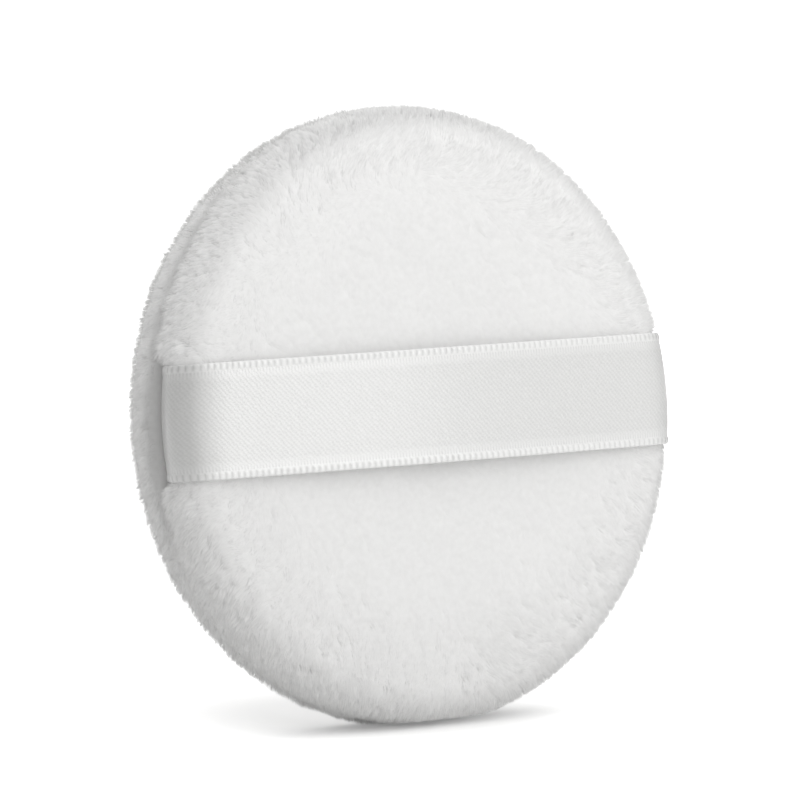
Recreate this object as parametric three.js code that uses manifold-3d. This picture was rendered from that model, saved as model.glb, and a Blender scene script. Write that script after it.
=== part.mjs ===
// Round plush powder puff with a satin ribbon across its face, standing on its rim.
// Millimetres, +Z up. The puff's axis lies along Y, the ribbon face looks to -Y, the ribbon runs along X.
// The pad is two plush panels sewn together round the rim, turned right side out over a sponge disc.
// The ribbon ends are caught in that seam.

import * as THREE from 'three';
import { mergeVertices } from 'three/addons/utils/BufferGeometryUtils.js';
import Module from 'manifold-3d';

const wasm = await Module();
wasm.setup();

// Driving dimensions of the pad
const padDiameter = 80;
const grooveDepth = 1.2;          // how far the seam draws the rim in
const plushThickness = 3.2;       // pile and backing together
const liningChamfer = 1.2;        // inside corner between rim wall and face
const frontLobe = { widest: 3.4, shoulderDepth: 4.75, shoulderReach: 4.7, crown: 1.5 };
const backLobe = { widest: 2.5, shoulderDepth: 3.7, shoulderReach: 5.1, crown: 1.5 };
const footDepth = 0.5;            // the pile is pressed flat where the puff stands

// Driving dimensions of the ribbon
const ribbonWidth = 14.6;         // as woven; such a ribbon is sold as 15 mm wide
const ribbonRise = 1.1;           // the ribbon's middle line above the pad's axis
const ribbonThickness = 0.4;
const ribbonBow = 1.0;            // how far the ribbon stands off the middle of the face
const ribbonSpring = 0.25;        // how far it springs clear of the rim as it leaves the seam
const ribbonTailSetback = 1.0;    // from the ribbon's cut end to the raw edge of the seam allowance

// Driving dimensions of the seam
const seamAllowance = 5;
const allowanceThickness = 1.0;   // plush with its pile sewn flat
const stitchLength = 5.6;
const stitchInset = 1.0;          // stitch line to the inside of the rim wall
const threadDiameter = 0.5;
const closingAngle = -45;         // middle of the turning gap, degrees up from +X
const closingLength = 40;         // length of the turning gap along the seam
const dipShare = 1 / 3;           // share of a stitch, on each side of a slot, that the thread dips over
const threadTail = 0.375;         // share of a stitch that a thread runs on past its last slot

// Driving dimension of the core
const coreEdgeRadius = 2;

// Clearances
const seatClearance = 0.25;       // between cloth, ribbon and core where they press on each other
const seamSlit = 0.3;             // between the two allowances, away from the ribbon
const threadClearance = 0.3;      // between a thread and the cloth that it passes through

// Smoothness of the curved surfaces
const turnSegments = 40;
const arcSteps = 4;
const crownSteps = 3;
const ribbonSteps = 12;           // for each curved stretch
const threadSides = 5;
const stepsPerStitch = 8;
const sameSpot = 1e-3;            // points nearer than this are one point

// Sizes that follow from these
const padRadius = padDiameter / 2;
const seamRadius = padRadius - grooveDepth;
const ribbonPocket = ribbonThickness + 2 * seatClearance;
const wallRadius = padRadius - plushThickness;
const allowanceEnd = wallRadius - seamAllowance;
const allowanceInside = seamSlit / 2 + allowanceThickness;
const coreRadius = allowanceEnd - seatClearance;
const stitchRadius = wallRadius - stitchInset;
const stitchCount = Math.round(2 * Math.PI * stitchRadius / stitchLength);
const stitchAngle = 2 * Math.PI / stitchCount;
const closingCount = Math.round(closingLength / stitchLength);
const threadRadius = threadDiameter / 2;
const ribbonFront = faceDepth(frontLobe, 0) + seatClearance + ribbonBow + ribbonThickness;
const axisHeight = padRadius - footDepth;
const axisOffset = (ribbonFront - faceDepth(backLobe, 0)) / 2;

const plushWhite = new THREE.MeshStandardMaterial({ color: 0xf1f0ec, roughness: 0.95, metalness: 0 });
const satinWhite = new THREE.MeshStandardMaterial({ color: 0xf4f4f2, roughness: 0.35, metalness: 0 });
const spongeCream = new THREE.MeshStandardMaterial({ color: 0xf0e6c8, roughness: 0.9, metalness: 0 });
const threadWhite = new THREE.MeshStandardMaterial({ color: 0xf2f2ee, roughness: 0.6, metalness: 0 });

// Closed solids and the cuts between them
function solidOf(geometry) {
  const bare = geometry.index ? geometry.toNonIndexed() : geometry.clone();
  bare.deleteAttribute('normal');
  bare.deleteAttribute('uv');
  const merged = mergeVertices(bare, 1e-4);
  const vertProperties = new Float32Array(merged.attributes.position.array);
  const triVerts = new Uint32Array(merged.index.array);
  const mesh = new wasm.Mesh({ numProp: 3, vertProperties, triVerts });
  mesh.merge();
  return new wasm.Manifold(mesh);
}

function geometryOf(solid) {
  const mesh = solid.getMesh();
  const geometry = new THREE.BufferGeometry();
  geometry.setAttribute('position', new THREE.BufferAttribute(new Float32Array(mesh.vertProperties), 3));
  geometry.setIndex(new THREE.BufferAttribute(new Uint32Array(mesh.triVerts), 1));
  geometry.computeVertexNormals();
  return geometry;
}

function cut(geometry, ...tools) {
  let solid = solidOf(geometry);
  for (const tool of tools) {
    solid = solid.subtract(solidOf(tool));
  }
  return geometryOf(solid);
}

// Cross-section of one half of the pad: radius from the axis, depth from the seam plane.
// The crown of the face runs into the rounded shoulder where both have the same slope.
function crownEdge(lobe) {
  const angle = Math.atan2(
    lobe.shoulderDepth * (padRadius - lobe.shoulderReach), 2 * lobe.crown * lobe.shoulderReach);
  const radius = padRadius - lobe.shoulderReach * (1 - Math.cos(angle));
  const depth = lobe.widest + lobe.shoulderDepth * Math.sin(angle);
  return { angle, radius, depth };
}

function faceDepth(lobe, radius) {
  const edge = crownEdge(lobe);
  return edge.depth + lobe.crown * (1 - (radius / edge.radius) ** 2);
}

// The pile surface, from the middle of the face over the shoulder, into a seam of the given width and
// along the allowance
function pileSurface(lobe, seamWidth, allowanceRadius) {
  const edge = crownEdge(lobe);
  const top = faceDepth(lobe, 0);
  const path = new THREE.Path();
  path.moveTo(0, top);
  path.quadraticCurveTo(edge.radius / 2, top, edge.radius, edge.depth);
  path.absellipse(
    padRadius - lobe.shoulderReach, lobe.widest, lobe.shoulderReach, lobe.shoulderDepth, edge.angle, 0, true);
  path.absellipse(
    seamRadius, lobe.widest, grooveDepth, lobe.widest - seamWidth / 2, 0, -Math.PI / 2, true);
  path.lineTo(allowanceRadius, seamWidth / 2);
  return path;
}

function panelProfile(lobe) {
  const path = pileSurface(lobe, seamSlit, allowanceEnd);
  const ceiling = faceDepth(lobe, wallRadius) - plushThickness;
  const corner = Math.min(liningChamfer, ceiling - allowanceInside);
  const inner = wallRadius - corner;
  const middle = faceDepth(lobe, 0) - plushThickness;
  path.lineTo(allowanceEnd, allowanceInside);
  path.lineTo(wallRadius, allowanceInside);
  path.lineTo(wallRadius, ceiling - corner);
  path.lineTo(inner, faceDepth(lobe, inner) - plushThickness);
  path.quadraticCurveTo(inner / 2, middle, 0, middle);
  return profilePoints(path);
}

function distinct(points) {
  return points.filter((point, i) => i === 0 || point.distanceTo(points[i - 1]) > sameSpot);
}

function stepsOf(curve) {
  if (curve.isLineCurve) {
    return 1;
  }
  return curve.isEllipseCurve ? arcSteps : crownSteps;
}

// The corners of a faceted profile, with both of its ends exactly on the axis
function profilePoints(path) {
  const points = distinct(path.curves.flatMap((curve) => curve.getPoints(stepsOf(curve))));
  points[0].x = 0;
  points[points.length - 1].x = 0;
  return points;
}

// One plush panel: a bowl with its seam allowance turned in. side is -1 for the front and 1 for the back.
function panel(lobe, side) {
  const points = panelProfile(lobe).map((p) => new THREE.Vector2(p.x, side * p.y));
  if (side > 0) {
    points.reverse();
  }
  const bowl = new THREE.LatheGeometry(points, turnSegments);
  return cut(bowl, floorCutter(), ribbonPockets(), ...stitchSlots());
}

// Everything below the floor plane, in the pad's own frame with its axis at the origin
function floorCutter() {
  const height = padRadius;
  const box = new THREE.BoxGeometry(2 * padDiameter, 2 * padDiameter, height);
  box.translate(0, 0, -axisHeight - height / 2);
  return box;
}

// The ribbon's tails press a pocket into the allowances at both sides, as deep as the ribbon and its play
function ribbonPockets() {
  const box = new THREE.BoxGeometry(2 * padDiameter, ribbonPocket, ribbonWidth + 2 * seatClearance);
  box.translate(0, 0, ribbonRise);
  return box;
}

// Slots that the needle opened through both allowances
function stitchSlots() {
  const slots = [];
  const slotLength = 2 * dipShare * stitchRadius * stitchAngle;
  const slotWidth = threadDiameter + 2 * threadClearance;
  const slotHeight = 2 * (allowanceInside + threadClearance);
  for (let i = 0; i < stitchCount; i += 1) {
    const slot = new THREE.BoxGeometry(slotWidth, slotHeight, slotLength);
    slot.translate(stitchRadius, 0, 0);
    slot.rotateY(-i * stitchAngle);
    slots.push(slot);
  }
  return slots;
}

// Sponge disc that fills the pad between the two linings, inside the ring of seam allowances
function spongeCore() {
  const path = new THREE.Path();
  const rim = coreRadius - coreEdgeRadius;
  const backMiddle = liningDepth(backLobe, 0);
  const backRim = liningDepth(backLobe, rim);
  const frontMiddle = liningDepth(frontLobe, 0);
  const frontRim = liningDepth(frontLobe, rim);
  path.moveTo(0, -frontMiddle);
  path.quadraticCurveTo(rim / 2, -frontMiddle, rim, -frontRim);
  path.quadraticCurveTo(coreRadius, -frontRim, coreRadius, -frontRim + coreEdgeRadius);
  path.lineTo(coreRadius, backRim - coreEdgeRadius);
  path.quadraticCurveTo(coreRadius, backRim, rim, backRim);
  path.quadraticCurveTo(rim / 2, backMiddle, 0, backMiddle);
  return geometryOf(solidOf(new THREE.LatheGeometry(profilePoints(path), turnSegments)));
}

function liningDepth(lobe, radius) {
  return faceDepth(lobe, radius) - plushThickness - seatClearance;
}

// Satin ribbon: follows the front pile out of the seam, over the shoulder and across the face
function satinRibbon() {
  const guide = pileSurface(frontLobe, ribbonPocket, allowanceEnd + ribbonTailSetback);
  const faceEdge = crownEdge(frontLobe).radius;
  const under = [];
  const over = [];
  function lay(point, tangent, spring) {
    const normal = new THREE.Vector2(-tangent.y, tangent.x);
    const inward = THREE.MathUtils.smoothstep(faceEdge - point.x, 0, faceEdge);
    const onFace = point.y > frontLobe.widest ? inward : 0;
    const stand = seatClearance + ribbonBow * onFace + spring;
    under.push(point.clone().addScaledVector(normal, stand));
    over.push(point.clone().addScaledVector(normal, stand + ribbonThickness));
  }
  for (const stretch of guide.curves.filter((curve) => curve.getLength() > sameSpot)) {
    const steps = stretch.isLineCurve ? 1 : ribbonSteps;
    const intoSeam = stretch.isEllipseCurve && stretch.aX === seamRadius;
    for (let i = under.length ? 1 : 0; i <= steps; i += 1) {
      const spring = intoSeam ? ribbonSpring * Math.sin(Math.PI * i / steps) : 0;
      lay(stretch.getPoint(i / steps), stretch.getTangent(i / steps), spring);
    }
  }
  const left = (p) => new THREE.Vector2(-p.x, -p.y);
  const right = (p) => new THREE.Vector2(p.x, -p.y);
  const outline = [
    ...over.slice(1).reverse().map(left), ...over.map(right),
    ...under.slice(1).reverse().map(right), ...under.map(left),
  ];
  const strip = new THREE.ExtrudeGeometry(
    new THREE.Shape(distinct(outline)), { depth: ribbonWidth, bevelEnabled: false });
  strip.translate(0, 0, ribbonRise - ribbonWidth / 2);
  return cut(strip, ...stitchSlots());
}

// A thread along the stitch line, from one stitch number to another. Whole numbers are at the slots,
// and depthAt gives the thread's distance from the seam plane at a stitch number.
class StitchPath extends THREE.Curve {
  constructor(first, last, depthAt) {
    super();
    this.first = first - threadTail;
    this.span = last - first + 2 * threadTail;
    this.depthAt = depthAt;
  }

  getPoint(t, target = new THREE.Vector3()) {
    const stitch = this.first + t * this.span;
    const angle = stitch * stitchAngle;
    const depth = this.depthAt(stitch);
    return target.set(stitchRadius * Math.cos(angle), depth, stitchRadius * Math.sin(angle));
  }

  getUtoTmapping(u) {
    return u;
  }
}

const floatDepth = allowanceInside + threadClearance + threadRadius;
const lockDepth = threadClearance / 2 + threadRadius;

// 1 at a slot, falling to 0 where the thread lies on the cloth again
function dip(stitch) {
  const away = Math.min(1, Math.abs(stitch - Math.round(stitch)) / dipShare);
  return Math.cos(away * Math.PI / 2) ** 2;
}

// In the machine-sewn lockstitch each thread stays on its own panel and they meet inside the slots
function lockstitchDepth(side) {
  return (stitch) => side * (floatDepth + (lockDepth - floatDepth) * dip(stitch));
}

// The hand-sewn ladder stitch changes from one panel to the other at each slot
function ladderDepth(stitch) {
  const slot = Math.round(stitch);
  const across = Math.max(-1, Math.min(1, (stitch - slot) / dipShare));
  const side = slot % 2 === 0 ? 1 : -1;
  return side * floatDepth * Math.sin(across * Math.PI / 2);
}

function thread(first, last, depthAt) {
  const corners = [];
  for (let i = 0; i < threadSides; i += 1) {
    const angle = 2 * Math.PI * i / threadSides;
    corners.push(new THREE.Vector2(threadRadius * Math.cos(angle), threadRadius * Math.sin(angle)));
  }
  const section = new THREE.Shape(corners);
  const path = new StitchPath(first, last, depthAt);
  const steps = Math.round(path.span * stepsPerStitch);
  return geometryOf(solidOf(new THREE.ExtrudeGeometry(
    section, { steps, extrudePath: path, bevelEnabled: false })));
}

// The pad and its ribbon, with the pad's axis at the origin
const puff = new THREE.Group();
puff.position.set(0, axisOffset, axisHeight);

function addPiece(name, geometry, material) {
  const piece = new THREE.Mesh(geometry, material);
  piece.name = name;
  puff.add(piece);
}

const closingMiddle = Math.round(THREE.MathUtils.degToRad(closingAngle) / stitchAngle);
const closingFirst = closingMiddle - Math.floor(closingCount / 2);
const closingLast = closingFirst + closingCount - 1;
const seamFirst = closingLast + 1;
const seamLast = closingFirst - 1 + stitchCount;

addPiece('front_plush_panel', panel(frontLobe, -1), plushWhite);
addPiece('back_plush_panel', panel(backLobe, 1), plushWhite);
addPiece('sponge_core', spongeCore(), spongeCream);
addPiece('satin_ribbon', satinRibbon(), satinWhite);
addPiece('seam_needle_thread', thread(seamFirst, seamLast, lockstitchDepth(-1)), threadWhite);
addPiece('seam_bobbin_thread', thread(seamFirst, seamLast, lockstitchDepth(1)), threadWhite);
addPiece('closing_thread', thread(closingFirst, closingLast, ladderDepth), threadWhite);

export default puff;
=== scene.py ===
"""The looks of a round plush powder puff with a satin ribbon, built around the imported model, in metres."""

import math
from collections import namedtuple

import bpy
import numpy as np
from mathutils import Matrix, Vector, kdtree

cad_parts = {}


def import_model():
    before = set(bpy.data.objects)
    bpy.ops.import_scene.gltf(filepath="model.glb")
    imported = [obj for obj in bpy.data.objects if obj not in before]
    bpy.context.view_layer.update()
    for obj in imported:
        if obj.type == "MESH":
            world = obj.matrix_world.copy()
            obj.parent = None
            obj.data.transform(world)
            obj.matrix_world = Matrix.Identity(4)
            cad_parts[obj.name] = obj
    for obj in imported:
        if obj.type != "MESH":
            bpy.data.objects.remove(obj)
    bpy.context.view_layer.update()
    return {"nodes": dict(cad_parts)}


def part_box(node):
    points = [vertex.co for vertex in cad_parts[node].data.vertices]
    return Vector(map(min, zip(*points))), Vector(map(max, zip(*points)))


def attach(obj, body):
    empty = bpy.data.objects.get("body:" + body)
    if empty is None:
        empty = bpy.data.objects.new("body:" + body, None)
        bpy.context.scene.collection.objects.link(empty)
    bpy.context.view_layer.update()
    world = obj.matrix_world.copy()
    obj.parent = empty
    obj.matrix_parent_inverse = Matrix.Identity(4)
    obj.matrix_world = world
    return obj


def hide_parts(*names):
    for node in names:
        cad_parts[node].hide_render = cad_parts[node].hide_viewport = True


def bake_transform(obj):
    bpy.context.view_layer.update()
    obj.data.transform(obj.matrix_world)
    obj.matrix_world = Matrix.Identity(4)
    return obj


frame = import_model()

mm = 0.001

# The pad's section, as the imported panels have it: radius from the axis, depth from the seam plane
GROOVE_DEPTH = 1.2 * mm
SEAM_SLIT = 0.3 * mm
PLUSH_THICKNESS = 3.2 * mm
SEAM_ALLOWANCE = 5 * mm
ALLOWANCE_THICKNESS = 1.0 * mm
SEAT_CLEARANCE = 0.25 * mm

front_low, front_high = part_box("front_plush_panel")
back_low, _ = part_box("back_plush_panel")
ribbon_low, ribbon_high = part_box("satin_ribbon")
PAD_RADIUS = (front_high.x - front_low.x) / 2
AXIS_HEIGHT = front_high.z - PAD_RADIUS
SEAM_PLANE = (front_high.y + back_low.y) / 2
SEAM_RADIUS = PAD_RADIUS - GROOVE_DEPTH
WALL_RADIUS = PAD_RADIUS - PLUSH_THICKNESS
ALLOWANCE_END = WALL_RADIUS - SEAM_ALLOWANCE
DISC_CENTRE = Vector((0, SEAM_PLANE, AXIS_HEIGHT))
Lobe = namedtuple("Lobe", "side radius seam_radius widest shoulder_depth shoulder_reach crown")
FRONT = Lobe(
    side=-1, radius=PAD_RADIUS, seam_radius=SEAM_RADIUS, widest=3.4 * mm,
    shoulder_depth=4.75 * mm, shoulder_reach=4.7 * mm, crown=1.5 * mm)
BACK = Lobe(
    side=1, radius=PAD_RADIUS, seam_radius=SEAM_RADIUS, widest=2.5 * mm,
    shoulder_depth=3.7 * mm, shoulder_reach=5.1 * mm, crown=1.5 * mm)
Skin = namedtuple("Skin", "points normals piles faces")

# The cloth under the pile
RING_SPACING = 0.5 * mm
SKIN_SEGMENTS = 480
FACE_PILE = 0.40 * mm           # how far the pile stands out of the cloth on the faces
RIM_PILE = 0.7 * mm             # and round the rim
LUMP_WAVELENGTH = 14 * mm
LUMP_HEIGHT = 0.05 * mm
PUCKER_WAVELENGTH = 5 * mm
PUCKER_HEIGHT = 0.14 * mm
PUCKER_REACH = 9.0 * mm
SEAM_HOLDS = 1.5 * mm           # how far from the seam the cloth is free to lie unevenly
GROOVE_FILL = 0.7 * mm          # how far the pile fills the groove where nothing draws the seam in
GROOVE_FILL_REACH = 3.0 * mm
DRAWN_MIDDLE = 7 * mm           # how far above the ribbon the groove that its pull opens has its middle
DRAWN_IN = 14 * mm              # how far from there the groove is open
DRAWN_OUT = 30 * mm             # and where it has closed
SEAM_CLOSING = 0.12 * mm        # how much closer the panels lie in the seam beside the ribbon
CLOSING_STARTS = 1 * mm         # how far beside the ribbon they begin to close
CLOSING_FULL = 4 * mm
CLOSING_DEPTH = 1.2 * mm        # how deep from the seam plane a panel is drawn
FLOOR_CLEARANCE = 0.05 * mm

# The pile
FRONT_FIBRES = 144000
BACK_FIBRES = 96000
FIBRES_PER_PIECE = 48000
RIM_BEGINS = 0.15               # how far the way out has turned from the axis where the rim begins, as a sine
RIM_FULL = 0.85
RIM_CROWDING = 1.5              # how much denser the pile is round the rim, as a share
FIBRE_WIDTH = 0.08 * mm
FIBRE_ROOT = 0.10 * mm          # how deep a fibre starts inside the cloth
TIP_RISE = 0.1 * mm             # how far its tip passes the pile's depth
LENGTH_SPREAD = (0.92, 1.04)    # how the fibres differ, as shares
WIDTH_SPREAD = (0.8, 1.25)
FACE_LEAN = math.radians(62)
RIM_LEAN = math.radians(38)
MOST_LEAN = 1.25                # in radians
LEAN_KEPT = 0.3                 # how much of its lean the pile keeps where it has no way to lean to
FACE_JITTER = math.radians(4)
RIM_JITTER = math.radians(10)
SWIRL = 0.5                     # how far the pile's way wanders, in radians
SWIRL_WAVELENGTH = 26 * mm
CURL = 0.3                      # and from tuft to tuft
CURL_WAVELENGTH = 5 * mm
STRAND_TURN = math.radians(15)  # how unevenly the strands are turned about their own length
STRAND_FLATNESS = 0.25          # a strand's depth behind its shown side, as a share of its half width
CLUMPS_PER_FIBRE = 1 / 24
FACE_CLUMPING = 0.2
RIM_CLUMPING = 0.40
CLUMPING_SPREAD = (0.5, 1.2)
COMB_TURNS = 24 * mm            # radius where the pile begins to turn from down to outwards
COMB_OUTWARD = 36 * mm          # and where it has turned
COMB_DOWN = 0.8                 # how much the rim's pile hangs down
COMB_TO_SEAM = 0.3              # and how much the front panel's leans to the seam
SEAM_COVER = 1.4                # how much more the pile beside the seam leans to it
SEAM_COVER_REACH = 1.4 * mm
SEAM_CROSSING = 0.35 * mm       # how far the tips of one panel's pile reach across the seam
BELOW_FLOOR = 0.6 * mm          # a fibre that reaches further than this below the floor is left out
EDGE_STARTS = 22 * mm           # radius where the face's pile begins to open towards its edge
EDGE_FULL = 37 * mm
EDGE_FLUFF = 0.33               # how open it is there, as a share of the rim's
EDGE_TILT = 0.22                # how much it shades outwards there
CLUMP_RELIEF = 0.05             # how much of the unevenness of the clumps shows in the height of the pile
FACE_ROUNDNESS = 0.06           # how much a fibre shades as a round strand and not as the cloth under it
RIM_ROUNDNESS = 0.22
FACE_BULGE = 0.05               # how much a clump shades as a round tuft
RIM_BULGE = 0.34
FRONT_PULL = 0.6                # how much the rim's pile shades as if it faced the front
PULL_ENDS = 0.6                 # how far the way out has turned to the back where that ends, as a sine
ROOT_SHADE = 0.14               # painted shade: how much darker the roots are coloured round the rim, where the pile opens and would shade them
CLUMP_SHADE = 0.06              # painted shade: how much darker the clumps are coloured there, each by a random share
STRAND_SHADE = 0.17             # and the strands of a clump, also painted shade
GROOVE_SHADE = 0.28             # painted shade: how much darker the pile is coloured in the groove, where the ribbon's pull opens it
GROOVE_SHADE_REACH = 1.7 * mm
GROOVE_SHADE_LOST = 0.7         # the share of that which is gone where nothing opens it

# The ribbon
RIBBON_WIDTH = ribbon_high.z - ribbon_low.z
RIBBON_HEIGHT = (ribbon_high.z + ribbon_low.z) / 2
RIBBON_THICKNESS = 0.26 * mm
RIBBON_BOW = 1.0 * mm
RIBBON_STAND = 0.50 * mm        # its middle line above the pile of the shoulder
RIBBON_LEAVES = math.radians(22)  # where on the rounded shoulder it leaves for the seam
RIBBON_LEAVING = 0.8 * mm       # how far it goes straight on there
RIBBON_ENTRY = 36.8 * mm        # radius where it lies between the allowances
ENTRY_CORNER = (0.5 * mm, 0.3 * mm)  # where it turns in: radius past the entry, depth from the seam plane
RIBBON_EASE = 2.5 * mm          # over what length its bends are eased
EASE_ENDS = 0.3 * mm            # depth from the seam plane where the seam holds it and no bend is eased
EASE_FULL = 3.5 * mm
RIBBON_TAIL_SETBACK = 1.0 * mm
ROUNDING_STARTS = 26 * mm       # where along the ribbon the round rim begins to shape it
ROUNDING_FULL = 38 * mm
RIBBON_ROOM = 0.06 * mm         # between the ribbon and the pile pressed under it
RIBBON_ROOM_BESIDE = 0.2 * mm   # and beside its edges
PRESSED_PILE = 0.25 * mm
PRESSED_CLOTH = 1.1 * mm
PRESS_STARTS = 0.6 * mm         # how far inside the ribbon's edge the pile begins to rise again
PRESS_EDGE = 2.0 * mm           # and how far beside it the pile has risen
POINTS_AT_ONCE = 4000           # how many points are compared with the path at a time
BEAD_PITCH = 0.92 * mm
STEPS_PER_BEAD = 8
BEAD_START = 0.25               # where in a bead a half of the ribbon begins
BEAD_HEIGHT = 0.13 * mm
BEAD_SPAN = 1.25                # how many times as wide as its beads the selvedge is
BEAD_FULLNESS = 0.5             # powers that round the beads along and across the ribbon
BAND_FULLNESS = 0.4
BEAD_OVERHANG = 0.07 * mm       # how far the beads stand out of the ribbon's edge
EDGE_ROUNDING = 0.15 * mm
EDGE_THINNING = 0.5
SELVEDGE_WIDTH = 1.1 * mm
SELVEDGE_FADE = 1.25            # where the selvedge's colour ends, as a share of its width
SELVEDGE_ROWS = 9
FIELD_ROWS = 12
NOTCH_SHADE = 1.6               # how dark the notches between the beads are painted, as shade in those recesses
DOT_SHADE = 0.8                 # and the dots along the selvedge's inner edge
DOT_WIDTH = 0.12 * mm
DOTS_PER_BEAD = 2
SHARP_EDGE = math.radians(60)
FLOAT_LENGTH = 0.75 * mm        # one thread of the satin weave on the face, from dip to dip
FLOAT_PITCH = 0.31 * mm
FLOAT_SHIFT = 0.40              # how far each thread is set on from the last, as a share of a float
FLOAT_WANDER = 0.7 * mm         # how unevenly the threads lie
BEND_STARTS = math.radians(3)   # from what slope on the satin's colour is painted darker where it bends, as shade of the ribbon turning from the light
BEND_FULL = math.radians(42)
BEND_SHADE = 0.30

# The sponge
SPONGE_RADIUS = ALLOWANCE_END - SEAT_CLEARANCE
SPONGE_EDGE = 2 * mm
SPONGE_SEGMENTS = 120
DENT_DEPTH = 0.12 * mm
DENT_WAVELENGTH = 2.4 * mm

# Colours, mostly from the darkest to the lightest, and how finely they are mottled, in spots per metre
PLUSH_COLOURS = ((0.905, 0.903, 0.896), (0.955, 0.953, 0.947))
PLUSH_MOTTLE = 1400
SATIN_COLOURS = ((0.71, 0.71, 0.703), (0.82, 0.82, 0.812))
SATIN_MOTTLE = 2400
WANDER_MOTTLE = 1800
BEAD_COLOUR = (0.87, 0.87, 0.863)
# the notches' colour is painted shade in the recesses between the beads; the dots along the selvedge's inner
# edge take it too
NOTCH_COLOUR = (0.70, 0.70, 0.693)
SPONGE_COLOURS = ((0.80, 0.72, 0.53), (0.90, 0.84, 0.68))
SPONGE_MOTTLE = 700
THREAD_COLOURS = ((0.84, 0.84, 0.815), (0.93, 0.93, 0.91))
THREAD_MOTTLE = 3000
FLOOR_COLOUR = (0.76, 0.76, 0.756)

# Camera, as fitted to the outline, the seam line and the ribbon
CAMERA_YAW = math.radians(35.82)
CAMERA_PITCH = math.radians(0.55)
CAMERA_ROLL = math.radians(3.81)
CAMERA_DISTANCE = 900 * mm
CAMERA_LENS = 313.3
CAMERA_RISE = 2.0 * mm

# Light and floor
AMBIENT = 0.36                  # from the level
OVERHEAD = 1.62                 # and from straight above
OVERHEAD_FOCUS = 2              # how steeply it rises between them
KEY_POWER = 1.9
KEY_SIZE = (0.8, 0.8)
KEY_PLACE = Vector((0.43, -0.92, 0.83))
STRIP_POWER = 2.1
STRIP_SIZE = (0.34, 0.6)
STRIP_PLACE = Vector((0.54, -1.17, 0.22))
FLOOR_TILT = math.radians(5.3)  # the puff leans back by this much on the floor
FLOOR_REACH = 6.0
NEAR_GLOW = 0.18                # what the camera sees the floor give off in the puff's shadow
FAR_GLOW = 1.0
NEAR_FLOOR = 0.012
FAR_FLOOR = 0.06
SHADOW_PLACE = (0, 0.015, 0)    # the middle of the floor's dimmest glow, behind the puff: a painted shadow on top of the cast one
FADE_SIDEWAYS = 1.2             # how much sooner that dim glow fades along X than along Y


# Seeded unevenness and smooth steps
def ripple(points, wavelength, seed, waves=14):
    """Smooth unevenness, mostly between -1 and 1, with bumps about half a wavelength across."""
    rng = np.random.default_rng(seed)
    directions = rng.normal(size=(waves, 3))
    directions /= np.linalg.norm(directions, axis=1)[:, None]
    stretch = rng.uniform(0.7, 1.5, waves)
    phases = rng.uniform(0, 2 * math.pi, waves)
    angles = points @ (directions * stretch[:, None]).T * (2 * math.pi / wavelength) + phases
    return np.sin(angles).sum(1) / math.sqrt(waves)


def smooth_step(low, high, value):
    share = np.clip((value - low) / (high - low), 0, 1)
    return share * share * (3 - 2 * share)


def between(low, high, share):
    return low + (high - low) * share


def unit(vectors):
    return vectors / np.linalg.norm(vectors, axis=-1, keepdims=True).clip(1e-12)


def across_way(vectors, way, kept=0):
    """Vectors without their part along a way, or with only a share of it kept."""
    return vectors - way * (vectors * way).sum(1)[:, None] * (1 - kept)


# Meshes from arrays
def new_mesh(name, points, faces):
    """A mesh of equal-sided faces, from an array of points and an array of point numbers."""
    mesh = bpy.data.meshes.new(name)
    mesh.vertices.add(len(points))
    mesh.vertices.foreach_set("co", np.asarray(points, np.float32).ravel())
    sides = faces.shape[1]
    mesh.loops.add(faces.size)
    mesh.loops.foreach_set("vertex_index", faces.astype(np.int32).ravel())
    mesh.polygons.add(len(faces))
    mesh.polygons.foreach_set("loop_start", np.arange(0, faces.size, sides, dtype=np.int32))
    mesh.polygons.foreach_set("loop_total", np.full(len(faces), sides, np.int32))
    mesh.update()
    mesh.validate()
    return mesh


def set_values(mesh, name, values):
    """One number for each point of a mesh, for its material."""
    mesh.attributes.new(name, "FLOAT", "POINT").data.foreach_set("value", values.astype(np.float32))


def add_piece(name, mesh, material):
    mesh.materials.append(material)
    piece = bpy.data.objects.new(name, mesh)
    bpy.context.scene.collection.objects.link(piece)
    return piece


def grid_faces(rings, segments):
    """Quads of a tube of rings that closes round the segments."""
    ring, segment = np.meshgrid(np.arange(rings - 1), np.arange(segments), indexing="ij")
    after = (segment + 1) % segments
    corners = [ring * segments + segment, ring * segments + after,
               (ring + 1) * segments + after, (ring + 1) * segments + segment]
    return np.stack(corners, -1).reshape(-1, 4)


def lathe_faces(rings, segments):
    """Triangles of a closed turned solid: a tip, rings of points and another tip."""
    tube = grid_faces(rings, segments) + 1
    first = np.arange(segments)
    after = (first + 1) % segments
    last_ring = 1 + (rings - 1) * segments
    last_tip = np.full(segments, 1 + rings * segments)
    low_fan = np.stack([np.zeros(segments, int), after + 1, first + 1], -1)
    high_fan = np.stack([last_tip, last_ring + first, last_ring + after], -1)
    triangles = np.concatenate([tube[:, [0, 1, 2]], tube[:, [0, 2, 3]]])
    return np.concatenate([low_fan, triangles, high_fan])


def vertex_normals(points, faces):
    a, b, c = (points[faces[:, i]] for i in range(3))
    face_normals = np.cross(b - a, c - a)
    normals = np.zeros_like(points)
    for i in range(3):
        np.add.at(normals, faces[:, i], face_normals)
    return unit(normals)


# Cross-section of the pad
def crown_edge(lobe):
    """Where the crowned face meets the rounded shoulder without a kink: angle, radius and depth."""
    angle = math.atan2(
        lobe.shoulder_depth * (lobe.radius - lobe.shoulder_reach), 2 * lobe.crown * lobe.shoulder_reach)
    radius = lobe.radius - lobe.shoulder_reach * (1 - math.cos(angle))
    depth = lobe.widest + lobe.shoulder_depth * math.sin(angle)
    return angle, radius, depth


def face_depth(lobe, radius):
    _, edge_radius, edge_depth = crown_edge(lobe)
    return edge_depth + lobe.crown * (1 - (radius / edge_radius) ** 2)


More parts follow.
